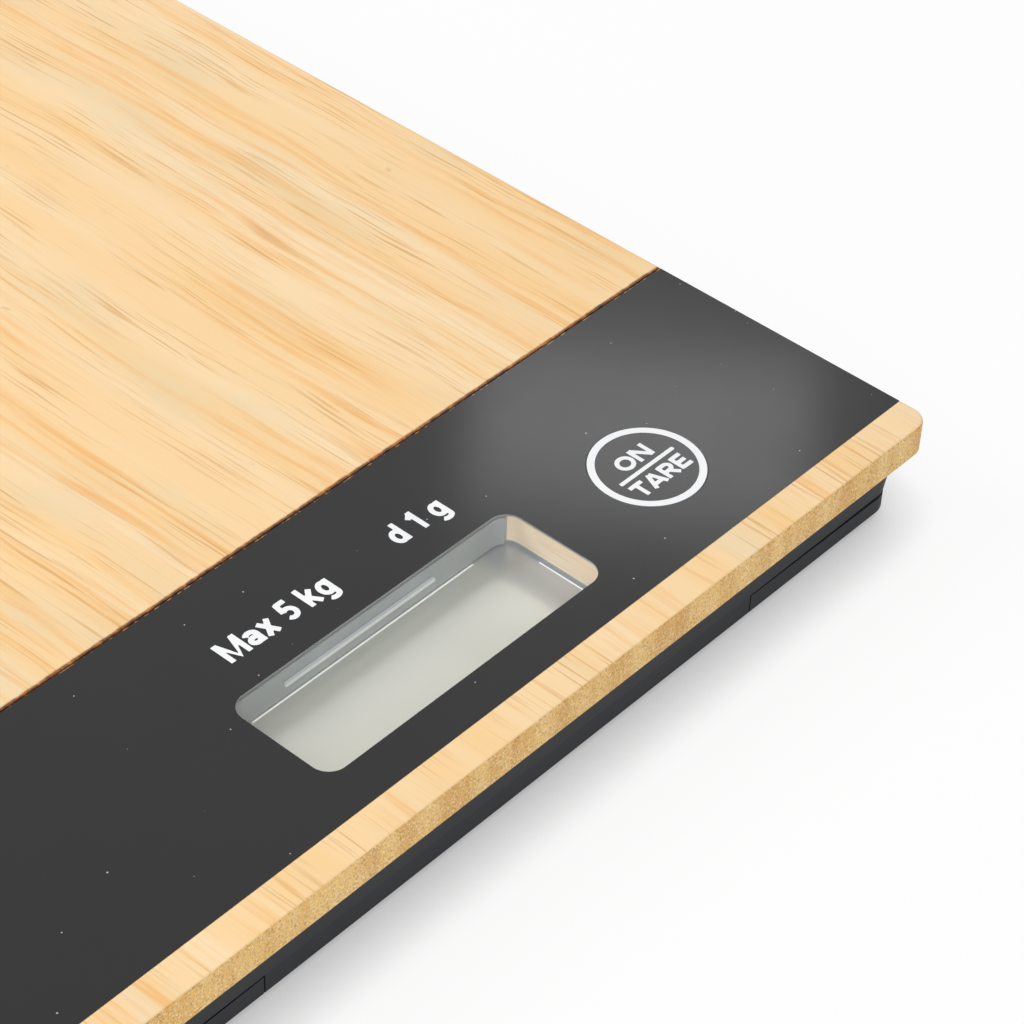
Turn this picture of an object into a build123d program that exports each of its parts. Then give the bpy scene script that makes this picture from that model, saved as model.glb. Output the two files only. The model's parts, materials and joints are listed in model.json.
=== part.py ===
from build123d import *
import math
import os

# Flat kitchen scale with a bamboo platform. Millimetres, +Z up, the control panel towards -Y.

# Bamboo board
board_width = 160.0
board_depth = 230.0
board_thick = 5.2
board_corner_radius = 3.0
board_top_round = 0.4
board_bottom_round = 0.5
pilot_depth = 3.0

# Panel film in its recess, which runs out at both sides of the board
front_strip = 5.3
recess_depth_y = 43.1
film_thick = 0.3
tape_thick = 0.2
film_sink = 0.12
film_gap = 0.15
film_side_margin = 0.1
tape_margin = 1.0

# Display window, in the middle of the board's width
window_width = 51.1
window_depth = 17.6
window_radius = 2.8
window_from_recess_front = 6.4
window_seat_gap = 0.02
cutout_margin = 0.5

# Key at the right of the display
key_from_right_edge = 34.95
key_from_recess_front = 16.1
key_diameter = 16.3
key_gap = 0.08
key_travel = 0.25
key_counterbore_depth = 0.6
plunger_head_diameter = 12.0
plunger_head_thick = 1.0
plunger_stem_diameter = 5.0
plunger_bore_gap = 0.25
stem_diameter = 3.0
stem_gap = 0.2
stem_height = 1.0
stem_engagement = 1.2
switch_side = 4.5
switch_height = 2.4

# Case under the board
case_inset = 2.8
case_height = 10.0
case_corner_radius = 3.5
case_bottom_round = 0.35
case_flare_angle = 8.0
case_wall = 1.8
case_floor = 1.6
rib_thick = 1.2
rib_height = 2.5
rib_from_middle = 30.0
rib_inner_end = 10.0
rib_end_gap = 14.0
cross_rib_from_end = 8.0
cross_rib_behind_battery = 50.0
case_post_diameter = 8.4
case_post_seat = 2.0
case_post_from_middle = 22.0
case_post_from_side_wall = 6.0
case_post_from_rear_wall = 10.0
case_post_behind_circuit = 9.0
side_post_front_y = -30.0
side_post_rear_y = 50.0

# Corner feet, in notches of the case that are closed above by a shelf
foot_length = 31.5
foot_seam = 0.25
notch_height = 3.35
foot_travel = 0.2
foot_stop_gap = 0.05
foot_top_slope = 0.4
shelf_thick = 1.1
shelf_wall = 1.2
foot_boss_x = 8.0
foot_boss_y = 12.0
boss_clearance = 1.0
pad_diameter = 16.0
pad_stand = 0.9
pad_recess = 0.4
pad_gap = 0.2
pad_edge_round = 0.3

# Load cells: square steel plates with a tongue cut free in the middle
cell_side = 26.0
cell_wall_gap = 0.95
cell_thick = 2.0
cell_slot = 1.5
tongue_width = 13.0
tongue_free_end = 7.0
tongue_root = 7.5
cell_screw_from_middle = 10.6
cell_screw_spread = 6.0
cell_seat_height = 0.85
cell_seat_diameter = 5.2
gauge_length = 9.0
gauge_width = 4.0
gauge_thick = 0.9

# Leads
lead_diameter = 1.4
lead_gap = 0.05
lead_bend = 1.6
lead_drop_bend = 0.93
lead_landing = 3.0
lead_rise = 6.0
lead_straight = 4.0
lead_shelf_gap = 0.5

# Screws
case_screw_head = 5.6
case_screw_head_height = 1.6
case_screw_shank = 2.9
circuit_screw_head = 3.6
circuit_screw_head_height = 1.2
circuit_screw_shank = 1.9
circuit_screw_length = 3.2
cell_screw_head = 4.4
cell_screw_head_height = 1.4
cell_screw_shank = 2.4
cell_screw_length = 3.0
foot_screw_head = 4.4
foot_screw_head_height = 1.2
foot_screw_shank = 2.4
foot_screw_sink = 0.1
screw_tip_gap = 0.3
thread_gap = 0.05
head_gap = 0.3
foot_screw_spread = 3.5
drive_length_share = 0.55
drive_width = 0.7
drive_depth = 0.7

# Circuit board and display
circuit_thick = 1.2
circuit_clear = 0.25
circuit_front_gap = 1.4
circuit_length_y = 35.0
circuit_post_diameter = 5.0
circuit_screw_edge = 3.0
circuit_screw_rear_edge = 5.5
circuit_screw_frame_gap = 4.0
display_drop = 0.6
display_thick = 2.2
display_margin = 3.0
frame_wall = 2.0
frame_gap = 0.2
frame_sight = 0.8
frame_peg_diameter = 1.4
frame_lip_thick = 0.4
frame_lip_gap = 0.1
frame_lip_below_tape = 0.3
frame_lip_wrap = 1.0
frame_bead_length = 27.2
frame_bead_x = -2.0
frame_bead_height = 0.6
frame_bead_reach = 0.5
frame_bead_drop = 3.2
contact_strip_width = 2.0
contact_strip_edge = 1.2
chip_cover_diameter = 9.0
chip_cover_height = 1.2
chip_cover_round = 0.95
chip_part_length = 2.0
chip_part_width = 1.2
chip_part_height = 0.8
chip_part_first = 12.0
chip_part_pitch = 4.0
chip_part_from_rear = 3.0
chip_parts_a_side = 4

# Battery, its round door and its spring contacts
battery_y = 20.0
cell_diameter = 20.0
coin_thick = 3.2
coin_rim_step = 0.3
coin_face_inset = 1.2
coin_side_gap = 0.6
coin_lift = 0.2
door_thick = 1.4
door_edge = 0.3
door_gap = 0.3
door_turn = 45.0
door_ring_wall = 1.4
door_ring_height = 1.3
lug_reach = 1.2
lug_half_angle = 13.0
lug_gap = 0.15
lug_thick = 0.85
notch_half_angle = 16.0
lug_entry_gap = 0.25
cup_gap = 0.4
cup_wall = 1.4
cup_roof = 1.2
cup_head_room = 1.5
coin_slot_length = 14.0
coin_slot_width = 2.0
coin_slot_depth = 0.7
contact_thick = 0.3
contact_width = 2.4
leaf_width = 5.0
contact_from_middle = 5.0
contact_tab = 1.6
contact_slot_gap = 0.25
contact_slot_depth = 8.4
contact_touch_gap = 0.02
contact_above_ring = 0.4
contact_step = 1.8
contact_step_run = 2.0
contact_arm_end = 3.0
contact_tip_run = 1.5
contact_tip_lift = 1.0
leaf_bend_from_middle = 7.5
leaf_touch_past_middle = 1.0
leaf_tip_run = 2.0
leaf_tip_lift = 0.6

# How far a cut runs past a face, and how deep added shapes sink into what they join
past = 1.0
weld = 0.2

# Levels, from the table up
case_bottom = pad_stand
floor_top = case_bottom + case_floor
board_bottom = case_bottom + case_height
board_top = board_bottom + board_thick
film_top = board_top - film_sink
film_bottom = film_top - film_thick
recess_floor = film_bottom - tape_thick
notch_top = case_bottom + notch_height
shelf_top = notch_top + shelf_thick
cell_bottom = shelf_top + cell_seat_height
cell_top = cell_bottom + cell_thick
circuit_bottom = shelf_top + circuit_clear
circuit_top = circuit_bottom + circuit_thick
display_top = board_bottom - display_drop
display_bottom = display_top - display_thick
switch_top = circuit_top + switch_height
stem_top = switch_top + stem_height
plunger_top = film_bottom
door_top = case_bottom + door_thick
coin_bottom = door_top + coin_lift
coin_top = coin_bottom + coin_thick
cup_roof_bottom = coin_top + cup_head_room
positive_bottom = door_top + door_ring_height + contact_above_ring
leaf_level = cup_roof_bottom - contact_thick / 2
foot_screw_seat = case_bottom + pad_recess + foot_screw_sink + foot_screw_head_height
case_screw_seat = floor_top + case_post_seat
case_screw_length = board_bottom + pilot_depth - screw_tip_gap - case_screw_seat
foot_screw_length = cell_top - screw_tip_gap - foot_screw_seat
foot_gap_inner = foot_travel + foot_stop_gap
foot_gap_corner = foot_gap_inner + foot_top_slope
lead_radius = lead_diameter / 2
lead_on_floor = floor_top + lead_radius + lead_gap
lead_on_circuit = circuit_top + lead_radius + lead_gap
lead_on_cell = cell_top + lead_radius + lead_gap

# Screws as head diameter, head height, shank diameter and shank length
case_screw = (case_screw_head, case_screw_head_height, case_screw_shank, case_screw_length)
circuit_screw = (circuit_screw_head, circuit_screw_head_height, circuit_screw_shank, circuit_screw_length)
cell_screw = (cell_screw_head, cell_screw_head_height, cell_screw_shank, cell_screw_length)
foot_screw = (foot_screw_head, foot_screw_head_height, foot_screw_shank, foot_screw_length)

# Plan positions
case_width = board_width - 2 * case_inset
case_depth = board_depth - 2 * case_inset
recess_front = -board_depth / 2 + front_strip
recess_middle = recess_front + recess_depth_y / 2
window_y = recess_front + window_from_recess_front + window_depth / 2
key_x = board_width / 2 - key_from_right_edge
key_y = recess_front + key_from_recess_front
inner_wall_x = case_width / 2 - case_wall
inner_wall_y = case_depth / 2 - case_wall
foot_x = inner_wall_x - cell_wall_gap - cell_side / 2
foot_y = inner_wall_y - cell_wall_gap - cell_side / 2
shelf_length = foot_length + foot_seam + shelf_wall
lead_drop_x = case_width / 2 - shelf_length - lead_shelf_gap - lead_radius
display_width = window_width + 2 * display_margin
display_depth = window_depth + 2 * display_margin
frame_half_x = display_width / 2 + frame_gap + frame_wall
circuit_screw_from_middle = frame_half_x + circuit_screw_frame_gap + circuit_screw_head / 2
circuit_half_x = foot_x - cell_screw_from_middle - cell_seat_diameter / 2 - frame_gap
circuit_front = -inner_wall_y + circuit_front_gap
circuit_rear = circuit_front + circuit_length_y
door_diameter = cell_diameter + 2 * (coin_side_gap + door_ring_wall)
cup_radius = door_diameter / 2 + lug_reach + cup_gap
contact_tab_y = battery_y - cup_radius - cup_wall - contact_tab
gauge_y = foot_y - (tongue_width / 2 + cell_slot + cell_side / 2) / 2

corners = {
    "front_left": (-1, -1),
    "front_right": (1, -1),
    "rear_left": (-1, 1),
    "rear_right": (1, 1),
}

case_post_places = [
    (side * x, y)
    for side in (-1, 1)
    for x, y in (
        (inner_wall_x - case_post_from_side_wall, side_post_front_y),
        (inner_wall_x - case_post_from_side_wall, side_post_rear_y),
        (case_post_from_middle, inner_wall_y - case_post_from_rear_wall),
        (case_post_from_middle, circuit_rear + case_post_behind_circuit),
    )
]

circuit_screw_places = [
    (side * circuit_screw_from_middle, y)
    for side in (-1, 1)
    for y in (circuit_front + circuit_screw_edge, circuit_rear - circuit_screw_rear_edge)
]


# Shared shapes
def slab(width, depth, bottom, top, x=0.0, y=0.0):
    return Pos(x, y, (bottom + top) / 2) * Box(width, depth, top - bottom)


def disc(diameter, bottom, top, x=0.0, y=0.0):
    return Pos(x, y, (bottom + top) / 2) * Cylinder(diameter / 2, top - bottom)


def rounded_slab(width, depth, radius, bottom, top, y=0.0):
    return Pos(0, y, bottom) * extrude(RectangleRounded(width, depth, radius), top - bottom)


def to_corner(shape, side_x, side_y):
    if side_x < 0:
        shape = mirror(shape, about=Plane.YZ)
    if side_y < 0:
        shape = mirror(shape, about=Plane.XZ)
    return shape


# A cross-headed screw that points up, with its head's bearing face at the given level
def screw_up(sizes, x, y, seat):
    head_diameter, head_height, shank_diameter, shank_length = sizes
    drive_length = head_diameter * drive_length_share
    low = seat - head_height
    head = disc(head_diameter, low, seat, x, y)
    head = fillet(head.edges().group_by(Axis.Z)[0], head_height / 3)
    shank = disc(shank_diameter, seat, seat + shank_length, x, y)
    shank = chamfer(shank.edges().group_by(Axis.Z)[-1], shank_diameter / 5)
    screw = head + shank
    for across in (0, 90):
        screw -= Pos(x, y, low) * Rot(0, 0, across) * Box(drive_length, drive_width, 2 * drive_depth)
    return screw


# The same screw pointing down
def screw_down(sizes, x, y, seat):
    return Pos(x, y, seat) * Rot(180, 0, 0) * screw_up(sizes, 0, 0, 0)


def tube(points, radius, bend):
    path = FilletPolyline(*points, radius=bend)
    start = Plane(origin=path @ 0, z_dir=path % 0)
    return sweep(start * Circle(radius), path=path)


# Bamboo platform
def make_board():
    board = rounded_slab(board_width, board_depth, board_corner_radius, board_bottom, board_top)
    board = fillet(board.edges().group_by(Axis.Z)[-1], board_top_round)
    board = fillet(board.edges().group_by(Axis.Z)[0], board_bottom_round)
    board -= slab(2 * board_width, recess_depth_y, recess_floor, board_top + past, 0, recess_middle)
    board -= rounded_slab(
        window_width + 2 * cutout_margin,
        window_depth + 2 * cutout_margin,
        window_radius,
        board_bottom - past,
        board_top,
        window_y,
    )
    bore_diameter = plunger_head_diameter + 2 * plunger_bore_gap
    board -= disc(bore_diameter, board_bottom - past, board_top, key_x, key_y)
    board -= disc(
        key_diameter + 2 * key_gap, recess_floor - key_counterbore_depth, board_top, key_x, key_y
    )
    for x, y in case_post_places:
        board -= disc(case_screw[2] + 2 * thread_gap, board_bottom - past, board_bottom + pilot_depth, x, y)
    return board


# Film with its window and key openings
def make_film():
    film = slab(
        board_width - 2 * film_side_margin,
        recess_depth_y - 2 * film_gap,
        film_bottom,
        film_top,
        0,
        recess_middle,
    )
    film -= rounded_slab(
        window_width, window_depth, window_radius, film_bottom - past, film_top + past, window_y
    )
    film -= disc(key_diameter + 2 * key_gap, film_bottom - past, film_top + past, key_x, key_y)
    return film


# Adhesive layer under the film
def make_tape():
    tape = slab(
        board_width - 2 * film_side_margin - 2 * tape_margin,
        recess_depth_y - 2 * film_gap - 2 * tape_margin,
        recess_floor,
        film_bottom,
        0,
        recess_middle,
    )
    tape -= rounded_slab(
        window_width + 2 * cutout_margin,
        window_depth + 2 * cutout_margin,
        window_radius,
        recess_floor - past,
        film_bottom + past,
        window_y,
    )
    tape -= disc(key_diameter + 2 * tape_margin, recess_floor - past, film_bottom + past, key_x, key_y)
    return tape


# Clear window, flush with the film
def make_window():
    return rounded_slab(
        window_width - 2 * window_seat_gap,
        window_depth - 2 * window_seat_gap,
        window_radius - window_seat_gap,
        film_bottom,
        film_top,
        window_y,
    )


# Key: film disc, plunger and the stem of its switch
def make_key():
    return disc(key_diameter, film_bottom, film_top, key_x, key_y)


def make_plunger():
    head = disc(plunger_head_diameter, plunger_top - plunger_head_thick, plunger_top, key_x, key_y)
    return head + disc(plunger_stem_diameter, stem_top, plunger_top - plunger_head_thick, key_x, key_y)


def make_stem():
    return disc(stem_diameter, switch_top - stem_engagement, stem_top, key_x, key_y)


def make_switch():
    switch = slab(switch_side, switch_side, circuit_top, switch_top, key_x, key_y)
    well = switch_top - stem_engagement - 2 * key_travel
    return switch - disc(stem_diameter + 2 * stem_gap, well, switch_top + past, key_x, key_y)


# Display, its frame and the conductive rubber strips
strip_y = display_depth / 2 - contact_strip_edge - contact_strip_width / 2
peg_x = display_width / 2 + frame_gap + frame_wall / 2
peg_y = display_depth / 2 + frame_gap + frame_wall / 2
peg_places = [(side * peg_x, window_y + end * peg_y) for side in (-1, 1) for end in (-1, 1)]


def make_display():
    return slab(display_width, display_depth, display_bottom, display_top, 0, window_y)


# Grey lip that lines the cutout's rear wall and wraps part way round both rear corners
def make_frame_lip(lip_rear, lip_bottom):
    lip_top = recess_floor - frame_lip_below_tape
    outer_x = window_width + 2 * (cutout_margin - frame_lip_gap)
    outer_y = window_depth + 2 * (cutout_margin - frame_lip_gap)
    outer_radius = window_radius - frame_lip_gap
    lip = rounded_slab(outer_x, outer_y, outer_radius, lip_bottom, lip_top, window_y)
    lip -= rounded_slab(
        outer_x - 2 * frame_lip_thick,
        outer_y - 2 * frame_lip_thick,
        outer_radius - frame_lip_thick,
        lip_bottom - past,
        lip_top + past,
        window_y,
    )
    return lip & slab(2 * outer_x, 2 * frame_lip_wrap, lip_bottom, lip_top, 0, lip_rear)


def make_frame():
    pocket_x = display_width + 2 * frame_gap
    pocket_y = display_depth + 2 * frame_gap
    frame = slab(
        pocket_x + 2 * frame_wall, pocket_y + 2 * frame_wall, circuit_top, board_bottom, 0, window_y
    )
    frame -= slab(pocket_x, pocket_y, circuit_top - past, display_top, 0, window_y)
    frame -= rounded_slab(
        window_width + 2 * frame_sight,
        window_depth + 2 * frame_sight,
        window_radius,
        display_top - past,
        board_bottom + past,
        window_y,
    )
    lip_rear = window_y + window_depth / 2 + cutout_margin - frame_lip_gap
    lip_length = window_width + 2 * cutout_margin - 2 * window_radius
    lip_bottom = (display_top + board_bottom) / 2
    frame += slab(
        lip_length,
        frame_lip_thick + frame_sight,
        lip_bottom,
        board_bottom,
        0,
        lip_rear - frame_lip_thick / 2 + frame_sight / 2,
    )
    frame += make_frame_lip(lip_rear, lip_bottom)
    bead_middle = board_top - frame_bead_drop
    frame += slab(
        frame_bead_length,
        frame_lip_thick + frame_bead_reach,
        bead_middle - frame_bead_height / 2,
        bead_middle + frame_bead_height / 2,
        frame_bead_x,
        lip_rear - (frame_lip_thick + frame_bead_reach) / 2,
    )
    for x, y in peg_places:
        frame += disc(frame_peg_diameter, circuit_bottom, circuit_top + weld, x, y)
    return frame


def make_contact_strips():
    strips = [
        slab(window_width, contact_strip_width, circuit_top, display_bottom, 0, window_y + side * strip_y)
        for side in (-1, 1)
    ]
    return Compound(children=strips)


# Circuit board with its chip cover underneath, small surface parts and screws
def make_circuit():
    middle = (circuit_front + circuit_rear) / 2
    circuit = slab(2 * circuit_half_x, circuit_length_y, circuit_bottom, circuit_top, 0, middle)
    for x, y in circuit_screw_places:
        circuit -= disc(circuit_screw[2] + 2 * head_gap, circuit_bottom - past, circuit_top + past, x, y)
    for x, y in peg_places:
        circuit -= disc(frame_peg_diameter + 2 * thread_gap, circuit_bottom - past, circuit_top + past, x, y)
    return circuit


def make_chip_cover():
    cover = disc(chip_cover_diameter, circuit_bottom - chip_cover_height, circuit_bottom, 0, window_y)
    return fillet(cover.edges().group_by(Axis.Z)[0], chip_cover_round)


def make_surface_parts():
    row_y = circuit_rear - chip_part_from_rear
    part_top = circuit_top + chip_part_height
    parts = []
    for side in (-1, 1):
        for place in range(chip_parts_a_side):
            x = side * (chip_part_first + place * chip_part_pitch)
            parts.append(slab(chip_part_length, chip_part_width, circuit_top, part_top, x, row_y))
    return Compound(children=parts)


def make_circuit_screws():
    return Compound(children=[screw_down(circuit_screw, x, y, circuit_top) for x, y in circuit_screw_places])


# The case's outer block, from which the case and the feet are both cut
def case_block():
    outline = RectangleRounded(case_width, case_depth, case_corner_radius)
    block = Pos(0, 0, case_bottom) * extrude(outline, notch_height)
    block = fillet(block.edges().group_by(Axis.Z)[0], case_bottom_round)
    flare = extrude(outline, board_bottom - notch_top, taper=-case_flare_angle)
    return block + Pos(0, 0, notch_top) * flare


def corner_box(length, top, bottom=0.0):
    x = case_width / 2 - length
    y = case_depth / 2 - length
    reach = 2 * length
    return slab(reach, reach, bottom, top, x + reach / 2, y + reach / 2)


def cell_seat_places():
    x = foot_x - cell_screw_from_middle
    return [(x, foot_y + side * cell_screw_spread) for side in (-1, 1)]


# Raised corner that holds a load cell and roofs a foot
def corner_shelf(block):
    return block & corner_box(shelf_length, shelf_top)


def add_corner_details(case, side_x, side_y):
    notch = corner_box(foot_length + foot_seam, notch_top)
    case -= to_corner(notch, side_x, side_y)
    hole = slab(
        foot_boss_x + 2 * boss_clearance,
        foot_boss_y + 2 * boss_clearance,
        notch_top - past,
        shelf_top + past,
        foot_x,
        foot_y,
    )
    case -= to_corner(hole, side_x, side_y)
    for x, y in cell_seat_places():
        seat = disc(cell_seat_diameter, shelf_top - weld, cell_bottom, x, y)
        case += to_corner(seat, side_x, side_y)
        bore = disc(cell_screw[2] + 2 * thread_gap, notch_top - past, cell_bottom + past, x, y)
        case -= to_corner(bore, side_x, side_y)
    return case


# Battery cup in the case floor, with a bayonet opening
def ring_sector(inner, outer, half_angle, middle_angle, bottom, top):
    sector = disc(2 * outer, bottom, top) - disc(2 * inner, bottom - past, top + past)
    reach = 2 * outer
    spread = reach * math.tan(math.radians(half_angle))
    wedge = Polygon((0, 0), (reach, -spread), (reach, spread), align=None)
    wedge = Pos(0, 0, bottom - past) * extrude(wedge, top - bottom + 2 * past)
    return Rot(0, 0, middle_angle) * (sector & wedge)


def add_battery_cup(case):
    case += disc(2 * (cup_radius + cup_wall), floor_top - weld, cup_roof_bottom + cup_roof, 0, battery_y)
    case -= disc(2 * cup_radius, floor_top, cup_roof_bottom, 0, battery_y)
    case -= disc(door_diameter + 2 * door_gap, case_bottom - past, floor_top + past, 0, battery_y)
    for turn in (door_turn, door_turn + 180):
        gate = ring_sector(
            door_diameter / 2 - lug_reach,
            door_diameter / 2 + lug_reach + lug_entry_gap,
            notch_half_angle,
            turn,
            case_bottom - past,
            floor_top + past,
        )
        case -= Pos(0, battery_y, 0) * gate
    wall_y = battery_y - cup_radius - cup_wall / 2
    slot_x = contact_thick + 2 * contact_slot_gap
    case -= slab(
        slot_x,
        contact_slot_depth,
        positive_bottom - contact_slot_gap,
        positive_bottom + contact_width + contact_slot_gap,
        -contact_from_middle,
        wall_y,
    )
    case -= slab(
        leaf_width + 2 * contact_slot_gap,
        contact_slot_depth,
        leaf_level - contact_thick / 2 - contact_slot_gap,
        cup_roof_bottom,
        contact_from_middle,
        wall_y,
    )
    return case


def make_case():
    block = case_block()
    inner_radius = case_corner_radius - case_wall
    case = block - rounded_slab(
        2 * inner_wall_x, 2 * inner_wall_y, inner_radius, floor_top, board_bottom + past
    )
    shelf = corner_shelf(block)
    for side_x, side_y in corners.values():
        case += to_corner(shelf, side_x, side_y)
    rib_bottom = floor_top - weld
    rib_top = floor_top + rib_height
    front = circuit_rear + rib_end_gap
    rear = inner_wall_y - rib_end_gap
    cross_length = rib_from_middle - rib_inner_end
    cross_middle = (rib_from_middle + rib_inner_end) / 2
    for side in (-1, 1):
        case += slab(
            rib_thick, rear - front, rib_bottom, rib_top, side * rib_from_middle, (front + rear) / 2
        )
        for y in (front + cross_rib_from_end, battery_y + cross_rib_behind_battery):
            case += slab(cross_length, rib_thick, rib_bottom, rib_top, side * cross_middle, y)
    for x, y in case_post_places:
        case += disc(case_post_diameter, floor_top - weld, board_bottom, x, y)
    for x, y in circuit_screw_places:
        case += disc(circuit_post_diameter, floor_top - weld, circuit_bottom, x, y)
    case = add_battery_cup(case)
    for side_x, side_y in corners.values():
        case = add_corner_details(case, side_x, side_y)
    for x, y in case_post_places:
        case -= disc(case_screw[0] + 2 * head_gap, case_bottom - past, case_screw_seat, x, y)
        case -= disc(case_screw[2] + 2 * head_gap, case_bottom, board_bottom + past, x, y)
    for x, y in circuit_screw_places:
        bore_bottom = circuit_top - circuit_screw[3] - head_gap
        case -= disc(circuit_screw[2] + 2 * thread_gap, bore_bottom, circuit_bottom + past, x, y)
    return case


def make_case_screws():
    return Compound(children=[screw_up(case_screw, x, y, case_screw_seat) for x, y in case_post_places])


# One corner, drawn at the rear right: foot, pad, foot screws, load cell, gauge and cell screws
def make_foot():
    inner_x = case_width / 2 - foot_length
    outer_x = case_width / 2
    outline = Polygon(
        (inner_x, case_bottom),
        (outer_x, case_bottom),
        (outer_x, notch_top - foot_gap_corner),
        (inner_x, notch_top - foot_gap_inner),
        align=None,
    )
    bar = extrude(Plane.XZ * outline, -foot_length)
    foot = case_block() & (Pos(0, case_depth / 2 - foot_length, 0) * bar)
    foot += slab(foot_boss_x, foot_boss_y, (case_bottom + notch_top) / 2, cell_bottom, foot_x, foot_y)
    foot -= disc(pad_diameter + 2 * pad_gap, case_bottom - past, case_bottom + pad_recess, foot_x, foot_y)
    for x, y in foot_screw_places():
        foot -= disc(foot_screw[0] + 2 * head_gap, case_bottom - past, foot_screw_seat, x, y)
        foot -= disc(foot_screw[2] + 2 * thread_gap, case_bottom, cell_bottom + past, x, y)
    return foot


def foot_screw_places():
    return [(foot_x, foot_y + side * foot_screw_spread) for side in (-1, 1)]


def make_pad():
    pad = disc(pad_diameter, 0, case_bottom + pad_recess, foot_x, foot_y)
    return fillet(pad.edges().group_by(Axis.Z)[0], pad_edge_round)


def make_foot_screws():
    return Compound(children=[screw_up(foot_screw, x, y, foot_screw_seat) for x, y in foot_screw_places()])


# The tongue joins the plate at its outer side and is fixed to the foot; the inner side is fixed to the case
def make_cell():
    plate = slab(cell_side, cell_side, cell_bottom, cell_top)
    slot_length = tongue_free_end + tongue_root + cell_slot
    slot_middle = (tongue_root - tongue_free_end - cell_slot) / 2
    for side in (-1, 1):
        slot_y = side * (tongue_width + cell_slot) / 2
        plate -= slab(slot_length, cell_slot, cell_bottom - past, cell_top + past, slot_middle, slot_y)
    end_x = -tongue_free_end - cell_slot / 2
    plate -= slab(cell_slot, tongue_width + 2 * cell_slot, cell_bottom - past, cell_top + past, end_x)
    plate = Pos(foot_x, foot_y, 0) * plate
    for x, y in cell_seat_places():
        plate -= disc(cell_screw[2] + 2 * head_gap, cell_bottom - past, cell_top + past, x, y)
    for x, y in foot_screw_places():
        plate -= disc(foot_screw[2] + 2 * thread_gap, cell_bottom - past, cell_top + past, x, y)
    return plate


def make_cell_screws():
    return Compound(children=[screw_down(cell_screw, x, y, cell_top) for x, y in cell_seat_places()])


def make_gauge():
    return slab(gauge_length, gauge_width, cell_top, cell_top + gauge_thick, foot_x, gauge_y)


# Leads lie on the case floor and rise over the edge of the circuit board
def make_cell_lead(side_x, side_y):
    start_x = foot_x - gauge_length / 2 - lead_gap
    start_y = side_y * gauge_y
    points = [(start_x, start_y, lead_on_cell), (lead_drop_x, start_y, lead_on_cell)]
    if side_y < 0:
        points.append((lead_drop_x, start_y, circuit_top + lead_gap))
        bend = lead_drop_bend
    else:
        rise_y = circuit_rear + lead_rise
        points.append((lead_drop_x, start_y, lead_on_floor))
        points.append((lead_drop_x, rise_y, lead_on_floor))
        points.append((lead_drop_x, rise_y, lead_on_circuit))
        points.append((lead_drop_x, circuit_rear - lead_landing, lead_on_circuit))
        bend = lead_bend
    lead = tube(points, lead_radius, bend)
    if side_x < 0:
        lead = mirror(lead, about=Plane.YZ)
    return lead


# Coin cell with its smaller face up
def make_coin():
    coin = disc(cell_diameter, coin_bottom, coin_top - coin_rim_step, 0, battery_y)
    coin = fillet(coin.edges(), coin_rim_step)
    face_diameter = cell_diameter - 2 * coin_face_inset
    return coin + disc(face_diameter, (coin_bottom + coin_top) / 2, coin_top, 0, battery_y)


# Round door with two bayonet lugs and a slot for a coin's edge
def make_door():
    door = disc(door_diameter, case_bottom, door_top)
    door = chamfer(door.edges().group_by(Axis.Z)[0], door_edge)
    ring = disc(door_diameter, door_top - weld, door_top + door_ring_height)
    ring -= disc(door_diameter - 2 * door_ring_wall, door_top, door_top + door_ring_height + past)
    door += ring
    lug_bottom = floor_top + lug_gap
    for turn in (0, 180):
        lug = ring_sector(
            door_diameter / 2 - door_ring_wall / 2,
            door_diameter / 2 + lug_reach,
            lug_half_angle,
            turn,
            lug_bottom,
            lug_bottom + lug_thick,
        )
        door += lug
    slot = SlotOverall(coin_slot_length, coin_slot_width)
    door -= Pos(0, 0, case_bottom - past) * extrude(slot, past + coin_slot_depth)
    return Pos(0, battery_y, 0) * door


# Spring contacts, bent from thin strip
def make_positive_contact():
    touch_y = battery_y - cell_diameter / 2 - contact_thick / 2 - contact_touch_gap
    line = Polyline(
        (-contact_from_middle, contact_tab_y),
        (-contact_from_middle, touch_y - contact_step),
        (-contact_from_middle + contact_step_run, touch_y),
        (contact_arm_end, touch_y),
        (contact_arm_end + contact_tip_run, touch_y - contact_tip_lift),
    )
    strip = extrude(trace(line, contact_thick), contact_width)
    return Pos(0, 0, positive_bottom) * strip


def make_negative_contact():
    touch = coin_top + contact_thick / 2 + contact_touch_gap
    touch_y = battery_y + leaf_touch_past_middle
    line = Polyline(
        (contact_tab_y, leaf_level),
        (battery_y - leaf_bend_from_middle, leaf_level),
        (touch_y, touch),
        (touch_y + leaf_tip_run, touch + leaf_tip_lift),
    )
    strip = extrude(Plane.YZ * trace(line, contact_thick), leaf_width / 2, both=True)
    return Pos(contact_from_middle, 0, 0) * strip


def make_battery_leads():
    leads = []
    start_y = contact_tab_y - lead_gap
    turn_y = start_y - lead_straight
    levels = {-1: positive_bottom + contact_width / 2, 1: leaf_level}
    for side, level in levels.items():
        x = side * contact_from_middle
        rise_y = circuit_rear + lead_rise
        points = [
            (x, start_y, level),
            (x, turn_y, level),
            (x, turn_y - (level - lead_on_floor), lead_on_floor),
            (x, rise_y, lead_on_floor),
            (x, rise_y, lead_on_circuit),
            (x, circuit_rear - lead_landing, lead_on_circuit),
        ]
        leads.append(tube(points, lead_radius, lead_bend))
    return Compound(children=leads)


def save(name, shape):
    export_step(shape, "parts/" + name + ".step")


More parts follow.
